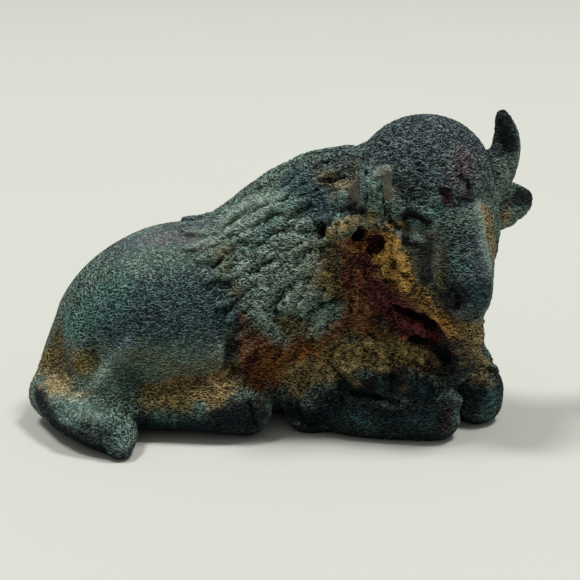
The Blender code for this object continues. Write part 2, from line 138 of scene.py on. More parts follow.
class ClaySettings(bpy.types.PropertyGroup):
    """How the clay is worked: its grain, its locks and the tool's marks, in shares."""

    grain: bpy.props.FloatProperty(
        name="Grain", description="Width of a cell of clay while it is carved", default=0.52, min=0.4
    )
    triangles: bpy.props.IntProperty(
        name="Triangles", description="Triangles the carved skin is thinned to", default=196000
    )
    lock_length: bpy.props.FloatProperty(
        name="Lock length", description="Length of a lock of the cape", default=17.0
    )
    lock_half: bpy.props.FloatProperty(
        name="Lock half width", description="Half the width of a lock", default=2.5
    )
    lock_height: bpy.props.FloatProperty(
        name="Lock height", description="How far a lock stands up", default=1.1
    )
    ripple: bpy.props.FloatProperty(
        name="Ripple", description="Width of the wavy marks of the wire tool", default=1.5
    )
    wool_depth: bpy.props.FloatProperty(
        name="Wool depth", description="Depth of the marks in the wool", default=0.5
    )
    tuft: bpy.props.FloatProperty(
        name="Tuft", description="Width of the tufts that the wool clots into", default=4.4
    )
    tuft_depth: bpy.props.FloatProperty(
        name="Tuft depth", description="Depth between two tufts", default=0.45
    )
    hide_depth: bpy.props.FloatProperty(
        name="Hide depth", description="Depth of the marks on the bare hide", default=0.26
    )


class GlazeSettings(bpy.types.PropertyGroup):
    """Colours of the smoked copper glaze, each over those before it; the last three are painted glints on
    the ridges.
    """

    base: colour_property("Grey green", "Matt copper glaze all over", "52685e")
    slate: colour_property("Slate", "Smoked blue grey on the dome and muzzle", "3c484d")
    violet: colour_property("Violet", "Flashes on back and brow", "5c5053")
    olive: colour_property("Olive", "Yellow green patches", "564d21")
    rust: colour_property("Rust", "Reduced iron on the belly", "6b3610")
    ochre: colour_property("Ochre", "Yellow below ear and chin", "dcaa56")
    umber: colour_property("Umber", "Glassy brown grey in the webs of the horn and on the cheek", "5d5a4f")
    frost: colour_property("Frost", "Pale green bloom on the upper locks and the tail", "7a8d80")
    # This colour is the smoke's carbon and also painted shade: low on the legs and along the ground, and
    # in creases, grooves and pits.
    soot: colour_property("Soot", "Carbon in hollows and on the legs", "061014")
    tan: colour_property("Tan", "Pale bare patches", "8a784e")
    blue: colour_property("Blue", "Cool patches on thigh, hump and dome", "2a444a")
    teal: colour_property("Teal", "Green blue patches", "456d67")
    crimson: colour_property("Crimson", "Copper red on the breast", "3d0912")
    # The last three are painted highlights: glints on the highest ridges, pale, gold or pink by the glaze
    # under them.
    bloom: colour_property("Bloom", "Pale bloom on the ridges of cool glaze", "a0b2a6")
    ember: colour_property("Ember", "Gold on the ridges of reduced glaze", "ba9450")
    rose: colour_property("Rose", "Pink on the ridges of the copper red", "a8505a")


class StageSettings(bpy.types.PropertyGroup):
    """The pale floor and the soft light."""

    floor: colour_property("Floor", "Matt paper floor", "c6c7be")
    key_power: bpy.props.FloatProperty(
        name="Softboxes", description="Power of each of the two soft lights", default=128.0, unit="POWER"
    )
    air: bpy.props.FloatProperty(
        name="Room light", description="Strength of the light from all round", default=0.34
    )


def ramp(values, start, end):
    """0 up to the start and 1 from the end on, straight between; the end may be the lower."""
    return np.clip((values - start) / (end - start), 0, 1)


def nearness(points, path):
    """For each point, its distance to a path and how far along the path that is, 0 to 1."""
    starts = path[:-1]
    spans = path[1:] - starts
    lengths = np.maximum(np.linalg.norm(spans, axis=1), 1e-6)
    offsets = points[:, None] - starts
    shares = np.clip((offsets * spans).sum(2) / lengths**2, 0, 1)
    gaps = np.linalg.norm(offsets - shares[..., None] * spans, axis=2)
    nearest = gaps.argmin(1)
    rows = np.arange(len(points))
    walked = np.concatenate([[0], np.cumsum(lengths)])
    along = (walked[nearest] + shares[rows, nearest] * lengths[nearest]) / walked[-1]
    return gaps[rows, nearest], along


def skull_frame():
    """The head's own frame, forward, left and up from HEAD_AT."""
    return Matrix.Translation(HEAD_AT) @ Matrix.Rotation(math.radians(HEAD_YAW), 4, "Z")


def settle(piece):
    """Applies a piece's modifiers."""
    graph = bpy.context.evaluated_depsgraph_get()
    data = bpy.data.meshes.new_from_object(piece.evaluated_get(graph))
    piece.modifiers.clear()
    piece.data = data


class Skin:
    """The skin of the clay while it is carved and stained."""

    def __init__(self, piece):
        self.piece = piece
        self.read()

    def read(self):
        """Takes the skin as it now is: its points, their outward directions and a finder."""
        mesh = self.piece.data
        self.points = np.empty(3 * len(mesh.vertices))
        mesh.vertices.foreach_get("co", self.points)
        self.points = self.points.reshape(-1, 3)
        self.outward = np.empty(3 * len(mesh.vertices))
        mesh.vertex_normals.foreach_get("vector", self.outward)
        self.outward = self.outward.reshape(-1, 3)
        faces = [tuple(face.vertices) for face in mesh.polygons]
        self.finder = BVHTree.FromPolygons(self.points.tolist(), faces)
        self.ragged = spread_noise(self.points, RAGGED_SIZE)

    def write(self):
        """Lays the carved points back into the piece."""
        self.piece.data.vertices.foreach_set("co", self.points.ravel())
        self.piece.data.update()

    def cast(self, starts, way):
        """The skin that lines of sight meet."""
        hits = [self.finder.ray_cast(Vector(start), Vector(way))[0] for start in starts]
        return np.array([hit for hit in hits if hit is not None]).reshape(-1, 3)

    def on_flank(self, line, side=NEAR):
        """The skin under a line of (x, z) points drawn on one flank."""
        return self.cast([(x, side * OUTSIDE, z) for x, z in line], (0, -side, 0))

    def on_back(self, line):
        """The skin under a line of (x, y) points drawn from above."""
        return self.cast([(x, y, OUTSIDE) for x, y in line], (0, 0, -1))

    def on_breast(self, line):
        """The skin under a line of (y, z) points drawn from the front."""
        return self.cast([(OUTSIDE, y, z) for y, z in line], (-1, 0, 0))

    def on_skull(self, line, side=FAR):
        """The skin nearest to (forward, left, up) points of the head, mirrored for its right."""
        skull = skull_frame()
        placed = [skull @ Vector((forward, side * left, up)) for forward, left, up in line]
        return np.array([self.finder.find_nearest(point)[0] for point in placed])

    def around(self, path, reach):
        """The numbers of the points in a box round a path, with this much room."""
        low = path.min(0) - reach
        high = path.max(0) + reach
        return np.flatnonzero(((self.points > low) & (self.points < high)).all(1))

    def closeness(self, path, reach, edge=2):
        """The points near a path, and how close each is: 1 on it, falling raggedly to 0."""
        if len(path) == 1:
            path = np.vstack([path, path])
        touched = self.around(path, 3 * reach)
        gap, _ = nearness(self.points[touched], path)
        gap *= 1 + RAGGED_SHARE * self.ragged[touched]
        return touched, np.exp(-((gap / reach) ** edge))

    def stroke(self, path, width, height):
        """Pushes the skin out along a path, or in, with steeper banks, by a negative height."""
        touched, close = self.closeness(path, width, 2 if height > 0 else 3)
        self.points[touched] += self.outward[touched] * (height * close)[:, None]

    def lay_locks(self, paths, half_width, height):
        """Lays locks like shingles: each rises as it narrows to its tip, and the top one shows."""
        relief = np.zeros(len(self.points))
        for path in paths:
            touched = self.around(path, half_width)
            if len(touched) == 0:
                continue
            gap, along = nearness(self.points[touched], path)
            half = half_width * (1 - 0.7 * along**3)
            crown = height * (0.6 + 0.4 * along) * np.sqrt(np.clip(1 - (gap / half) ** 2, 0, 1))
            relief[touched] = np.maximum(relief[touched], crown)
        self.points += self.outward * relief[:, None]


def wavy(draw, start, heading, length, spread):
    """A line of hair from a start point: it swings one way, then back, as it follows a heading."""
    waves = (18, -8, -14)
    step = length / len(waves)
    line = [start]
    for wave in waves:
        angle = math.radians(heading + wave + draw.uniform(-spread, spread))
        x, y = line[-1]
        line.append((x + step * math.cos(angle), y + step * math.sin(angle)))
    return line


def cape_edge(z):
    """How far back the woolly cape reaches at a height: less and less below the shoulder."""
    return -25 + 0.45 * np.maximum(0, 60 - z)


def in_cape(x, z, side):
    """Whether a place on the flank is in the woolly cape, clear of the near ear and the forearm."""
    by_the_ear = side == NEAR and x > 14 and z > 66
    return cape_edge(z) < x < 42 and 31 < z < 84 and not by_the_ear


def combed_cape(draw, side, rings, sweep, length, spacing, spread):
    """Lines of hair that flow out from the crown behind the horn and bend to the ground."""
    crown_x, crown_z = CROWN
    bend = 16
    lines = []
    for ring in rings:
        count = max(1, round(math.radians(sweep[1] - sweep[0]) * ring / spacing))
        for k in range(count):
            angle = sweep[0] + (sweep[1] - sweep[0]) * (k + draw.uniform(0.1, 0.9)) / count
            x = crown_x + ring * math.cos(math.radians(angle))
            z = crown_z + ring * math.sin(math.radians(angle))
            if in_cape(x, z, side):
                lines.append(wavy(draw, (x, z), angle + bend, length * draw.uniform(0.75, 1.2), spread))
    return lines


def carve_cape(skin, clay):
    """Locks of the cape, laid where the solid has them, and crisper."""
    paths = []
    for side, seed, scale in ((NEAR, 11, 1.0), (FAR, 12, 1.15)):
        draw = np.random.default_rng(seed)
        gap = LOCK_SPACING * scale
        rows = np.arange(14, 62, 8.5 * scale)
        short_rows = np.arange(12, 52, 6 * scale)
        lines = combed_cape(draw, side, rows, BACKWARD, clay.lock_length, gap, 8)
        lines += combed_cape(draw, side, short_rows, DOWNWARD, 0.55 * clay.lock_length, gap, 26)
        paths += [skin.on_flank(line, side) for line in lines]
    draw = np.random.default_rng(13)
    for x in np.arange(22, -22, -8.5):
        for y in np.arange(-12, 13, LOCK_SPACING):
            start = (x + draw.uniform(-3, 3), y + draw.uniform(-1, 1))
            paths.append(skin.on_back(wavy(draw, start, 180 - 1.5 * y, clay.lock_length, 8)))
    draw = np.random.default_rng(14)
    for z in np.arange(64, 26, -7):
        for y in np.arange(-14, 20, LOCK_SPACING):
            start = (y + draw.uniform(-1.5, 1.5), z + draw.uniform(-2, 2))
            paths.append(skin.on_breast(wavy(draw, start, 270, 0.6 * clay.lock_length, 22)))
    skin.lay_locks([path for path in paths if len(path) > 1], clay.lock_half, clay.lock_height)


def carve_face(skin, side):
    """One side of the face: lids, eye, cheek curl, nostril and the line of the mouth."""
    features = [
        ([(14.5, 14, -1), (11, 18, 1), (7, 21, 0)], 1.4, 0.9),
        ([(14, 16, -3.4), (11.3, 18, -2), (9, 19.6, -2.4)], 1.5, -1.9),
        ([(10.6, 17.4, -6.0)], 1.9, 0.8),
        ([(7.5, 21.5, -7.8), (9.5, 18.8, -9.0), (12.5, 16.8, -8.8), (14.4, 16, -9.4)], 1.1, 1.2),
        ([(17.2, 13, -3.2), (16.8, 14.4, -6.5), (17.6, 13.8, -11.2)], 0.9, 0.8),
        ([(18.5, 12.8, -11), (18.2, 13.3, -16.6), (16.8, 12.4, -23.4), (20.5, 11.3, -26.8)], 1.3, 0.7),
        ([(7, 20, -13), (7.5, 20, -16), (8.5, 19, -20)], 1.5, 1.1),
        ([(15, 15.5, -12), (14.5, 16, -18), (13.6, 14.7, -22)], 2.2, -0.7),
        ([(4.2, 21, -13.5), (4.2, 21, -20), (7.5, 18, -23)], 1.1, -1.0),
        ([(21, 11.3, -27.7), (22.8, 10.7, -25.6), (24.4, 9.5, -27.2), (23.9, 8.8, -31.3)], 0.9, -1.0),
        ([(27, 3, -36), (22, 8, -35), (16, 10.5, -32)], 0.8, -0.8),
    ]
    for line, width, height in features:
        skin.stroke(skin.on_skull(line, side), width, height)


def carve_brow(skin):
    """The tuft over the brow: locks that part, and the step where the nose begins."""
    features = [
        ([(13, 2, 18), (16, -1, 14), (19.5, -4.6, 6.9)], 1.3, 0.9),
        ([(13, -4, 18), (15.2, -6, 14.7), (18.3, -7.5, 6)], 1.2, 0.8),
        ([(15, 3, 16), (17.5, 2.4, 11), (19.5, 0, 5)], 1.2, 0.8),
        ([(16.4, -2.4, 14), (18, -3.7, 10.6), (19.7, -2.5, 8.0)], 0.9, -1.2),
        ([(16.5, -11.4, 6.6), (17.7, -9.8, 5.3)], 1.0, -1.1),
        ([(18.9, -4.5, 2.9), (19.6, -0.4, 3.0)], 0.9, -0.5),
        ([(21, 1.5, 1.7), (26.1, -0.3, -11.4), (28, 0.5, -18.8)], 1.5, 0.5),
        ([(23.2, 3.2, -3.5), (25.1, 3.0, -10)], 0.8, -0.7),
    ]
    for line, width, height in features:
        skin.stroke(skin.on_skull(line), width, height)


def carve_ear(skin):
    """The near ear and horn: webs on both sides of the horn's stub, the ear's hole and pits."""
    knob_size = (1.0, 1.1)
    features = [
        ([(21.6, 88), (22.6, 85), (22.6, 82)], 2.6, -1.9),
        ([(25, 94), (25, 88), (25.4, 82.5)], 0.9, -0.9),
        ([(30.2, 94), (30.4, 88), (31.2, 82)], 0.8, -1.0),
        ([(31.4, 96), (32.2, 92), (32.4, 88)], 2.0, -1.4),
        ([(32, 86), (33, 82), (33.5, 79)], 1.2, -0.9),
        ([(18.3, 86.4), (18, 83), (16, 79)], 1.5, 1.3),
        ([(20.7, 81.3), (24, 81.2)], 1.5, -1.6),
        ([(10.5, 89.3), (14.3, 89.6), (18.4, 90.6)], 0.9, -1.3),
        ([(12, 87.6), (15.2, 86.8), (18.4, 87.4)], 0.9, -0.9),
        ([(17.2, 76.5), (21.6, 79.4), (27, 80)], 1.3, 0.9),
        ([(36, 71.5), (36.6, 75)], 1.3, 0.9),
        ([(23.0, 72.4)], 2.9, -4.6),
        ([(29.8, 70), (28, 67.6)], 2.5, -1.6),
        ([(30.5, 71.5), (31.6, 69), (29.4, 66.6)], 0.7, 0.9),
        ([(28.2, 70.6), (28.8, 68.6), (27.2, 67)], 0.6, 0.8),
        ([(25.1, 69.6)], 0.8, 1.4),
        ([(10.8, 75.5), (10.8, 72.6)], 1.6, -2.0),
    ]
    for knob in range(9):
        swing = 1.1 * math.sin(2.4 * knob)
        down_the_horn = (28.1 + 0.2 * knob + swing, 95 - 2.1 * knob)
        features.append(([down_the_horn], *knob_size))
    for knob in range(10):
        swing = 1.4 * math.sin(2.1 * knob)
        along_the_rim = (13 + 2.4 * knob, 78.4 + 0.2 * knob + swing)
        features.append(([along_the_rim], *knob_size))
    for line, width, height in features:
        skin.stroke(skin.on_flank(line), width, height)


def carve_mane(skin):
    """Long locks drawn over the shoulder with a broad tool, each with a groove under it."""
    locks = [
        [(-1, 85), (-11, 81), (-20, 75.5)],
        [(-5, 80), (-13, 76), (-21, 71)],
        [(0, 77.5), (-6, 74), (-13, 69)],
        [(-14, 80.5), (-21, 76), (-27, 70)],
        [(-20, 76), (-26, 72.5), (-31, 68)],
        [(3, 72), (-3, 69), (-9, 64)],
        [(-15, 70), (-21, 67), (-27, 62)],
        [(6, 84), (1, 81), (-3, 77)],
    ]
    for line in locks:
        skin.stroke(skin.on_flank(line), 2.1, 0.7)
        skin.stroke(skin.on_flank([(x + 0.6, z - 2.3) for x, z in line]), 0.8, -0.9)


def carve_limbs(skin):
    """Folds of the legs with the fringe over them, the hollows by the beard and the tail."""
    features = [
        ([(35.6, 48), (43, 43.5), (49, 40)], 1.6, -1.6),
        ([(42, 34.8), (49, 34), (53.5, 28.5)], 1.8, -1.6),
        ([(33, 49.5), (36, 50.5), (39, 48.4)], 1.3, 1.0),
        ([(39, 41.5), (43, 39.5), (47, 37)], 1.4, 1.2),
        ([(46, 47), (50, 44.5), (53.5, 41)], 1.3, 1.0),
        ([(38, 36.6), (42, 37.4)], 1.3, 1.0),
        ([(43, 31.4), (48, 30.6), (50.5, 27.6)], 1.3, 1.0),
        ([(18.7, 16.8), (27, 17), (37, 15.6)], 1.1, -1.0),
        ([(20, 14.6), (28, 14.4), (36, 13.4)], 1.2, 0.6),
        ([(39, 25), (39.5, 20), (38, 17)], 2.4, 0.6),
        ([(34.4, 24), (35, 19)], 0.8, -0.5),
        ([(43.4, 25), (43.6, 20)], 0.9, -0.7),
        ([(22, 25), (23, 21)], 1.6, 0.6),
        ([(35.5, 30), (35.3, 24)], 1.0, -0.9),
        ([(16.6, 26), (17, 20), (18, 14)], 0.9, -1.0),
        ([(9, 29), (13.5, 28), (16.8, 23)], 0.9, -0.8),
        ([(2.5, 10), (7, 4)], 0.8, -0.7),
        ([(3.5, 43.5), (8.5, 49), (15.6, 51.5)], 0.9, -0.8),
        ([(-69, 31), (-67, 26)], 1.2, 0.5),
        ([(-19.5, 33), (-20, 29)], 2.2, 1.6),
        ([(-14, 15), (-12, 6)], 0.9, -0.8),
        ([(-77, 10.8), (-69, 8.8), (-61, 6.6)], 0.9, 0.5),
    ]
    for strand in range(9):
        lean = 1.6 * math.sin(1.9 * strand)
        top = 17 + 3.6 * strand
        line = [(top, 32), (top - 1.4 + lean, 28), (top - 2 + lean, 25 - lean)]
        features.append((line, 1.1, 0.6))
    for rib in range(6):
        line = [(2.6 + 1.7 * rib, 17), (4.2 + 1.6 * rib, 24.5 - 0.6 * abs(rib - 3))]
        features.append((line, 0.6, -0.6))
    for line, width, height in features:
        skin.stroke(skin.on_flank(line), width, height)


def spread_noise(points, size):
    """Soft noise from -1 to 1 whose lumps are about `size` wide."""
    return np.array([noise.noise(Vector(place)) for place in (points / size).tolist()])


def ripples(skin, size):
    """Wavy ridges, drawn out level: 1 on a ridge, falling to about -1 in the furrow between two."""
    return 1 - 2.2 * np.abs(spread_noise(skin.points / np.array([1.6, 1.6, 1.0]), size))


def wool(skin):
    """How woolly each point is: 1 on cape, dome, breast and beard, less on legs, 0 on bare hide."""
    x, _, z = skin.points.T
    cape = ramp(x - cape_edge(z), -3, 3)
    skull = np.array(skull_frame().inverted())
    forward, left, up = (skin.points @ skull[:3, :3].T + skull[:3, 3]).T
    face = ramp(forward, 12, 16) * ramp(up, 6, 2)
    horn = ramp(left, 22, 25) * ramp(up, -14, -10)
    beard = ramp(up, -34, -38)
    legs = ramp(z, 26, 22)
    return cape * (1 - face * (1 - beard)) * (1 - 0.6 * legs) * (1 - horn)


def clot_wool(skin, clay):
    """Tufts of the cape and the breast, below the smooth outline of the hump."""
    height = skin.points[:, 2]
    clotted = wool(skin) * ramp(height, 78, 70) * ramp(height, 26, 32)
    depth = clay.tuft_depth * clotted * (1 - polish(skin))
    skin.points += skin.outward * (depth * (ripples(skin, clay.tuft) - 0.4))[:, None]


def work_up(clay):
    """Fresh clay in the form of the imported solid, in one even fine skin."""
    piece = bpy.data.objects.new("raku_bison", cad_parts["bison"].data.copy())
    bpy.context.scene.collection.objects.link(piece)
    piece.data.transform(Matrix.Translation(-MARK) @ Matrix.Scale(1 / SHARE, 4))
    joined = bmesh.new()
    joined.from_mesh(piece.data)
    bmesh.ops.remove_doubles(joined, verts=joined.verts, dist=0.001)
    joined.to_mesh(piece.data)
    joined.free()
    round_off = piece.modifiers.new("round_off", "SUBSURF")
    round_off.levels = 2
    round_off.render_levels = 2
    remesh = piece.modifiers.new("knead", "REMESH")
    remesh.mode = "VOXEL"
    remesh.voxel_size = clay.grain
    smooth = piece.modifiers.new("rub", "SMOOTH")
    smooth.factor = 0.5
    smooth.iterations = 5
    settle(piece)
    return piece


def carve(piece, clay):
    """Carves the clay: first the wool, then features over it, then the tool's marks over all."""
    skin = Skin(piece)
    carve_cape(skin, clay)
    clot_wool(skin, clay)
    skin.write()
    skin.read()
    for side in (NEAR, FAR):
        carve_face(skin, side)
    carve_brow(skin)
    carve_mane(skin)
    carve_ear(skin)
    carve_limbs(skin)
    skin.write()
    skin.read()
    woolly = wool(skin)
    smooth = polish(skin)
    depth = (clay.hide_depth + (clay.wool_depth - clay.hide_depth) * woolly) * (1 - 0.9 * smooth)
    depth *= np.clip(skin.points[:, 2] / 5, 0.2, 1)
    marks = depth * ripples(skin, clay.ripple)
    skin.points += skin.outward * marks[:, None]
    skin.points[:, 2] = np.where(skin.points[:, 2] < RESTS_BELOW, 0, skin.points[:, 2])
    skin.write()


def polish(skin):
    """Where the glaze ran smooth: by the horn, on shoulder, cheek, eye, nose, rump and tail."""
    smooth = np.zeros(len(skin.points))
    places = [
        (skin.on_flank([(31.4, 96), (32.2, 92), (32.4, 88)]), 2.0, 1.0),
        (skin.on_flank([(21.6, 88), (22.6, 85), (23, 82)]), 2.7, 1.0),
        (skin.on_flank([(13, 84), (15, 85)]), 1.4, 0.8),
        (skin.on_flank([(-3, 84), (-14, 79), (-24, 72)]), 6, 0.45),
        (skin.on_skull([(16, 14.7, -10), (15.5, 15, -16), (14, 15, -22)], NEAR), 3.0, 1.0),
        (skin.on_skull([(10.5, 17.5, -6)], NEAR), 2.2, 0.9),
        (skin.on_skull([(21, 1, 1), (25, 0, -8), (27, 0, -20)]), 3.0, 0.6),
        (skin.on_flank([(-84, 40), (-72, 56), (-52, 66), (-34, 68)]), 13, 0.7),
        (skin.on_flank([(-70, 20), (-60, 28), (-48, 30), (-32, 30)]), 8, 0.35),
        (skin.on_flank([(-86, 17), (-76, 15), (-66, 13)]), 6, 0.5),
    ]
    for path, reach, most in places:
        touched, close = skin.closeness(path, reach)
        smooth[touched] = np.maximum(smooth[touched], most * close)
    return smooth


def thin_out(piece, triangles):
    """Thins the carved skin to about this many triangles."""
    thin = piece.modifiers.new("thin", "DECIMATE")
    made = sum(len(face.vertices) - 2 for face in piece.data.polygons)
    thin.ratio = min(1.0, triangles / made)
    settle(piece)


def averaged(values, edges, rounds):
    """Each point's value, evened out with its neighbours' some rounds over."""
    first, second = edges.T
    size = len(values)
    count = np.bincount(edges.ravel(), minlength=size)
    for _ in range(rounds):
        columns = []
        for column in values.T:
            passed = np.bincount(first, column[second], size) + np.bincount(second, column[first], size)
            columns.append(0.5 * column + 0.5 * passed / count)
        values = np.stack(columns, 1)
    return values


def hollows(skin, rounds, depth):
    """How deep each point lies under the evened skin, as a share of a depth: above 0 in a hollow."""
    mesh = skin.piece.data
    edges = np.empty(2 * len(mesh.edges), int)
    mesh.edges.foreach_get("vertices", edges)
    even = averaged(skin.points, edges.reshape(-1, 2), rounds)
    return ((even - skin.points) * skin.outward).sum(1) / depth


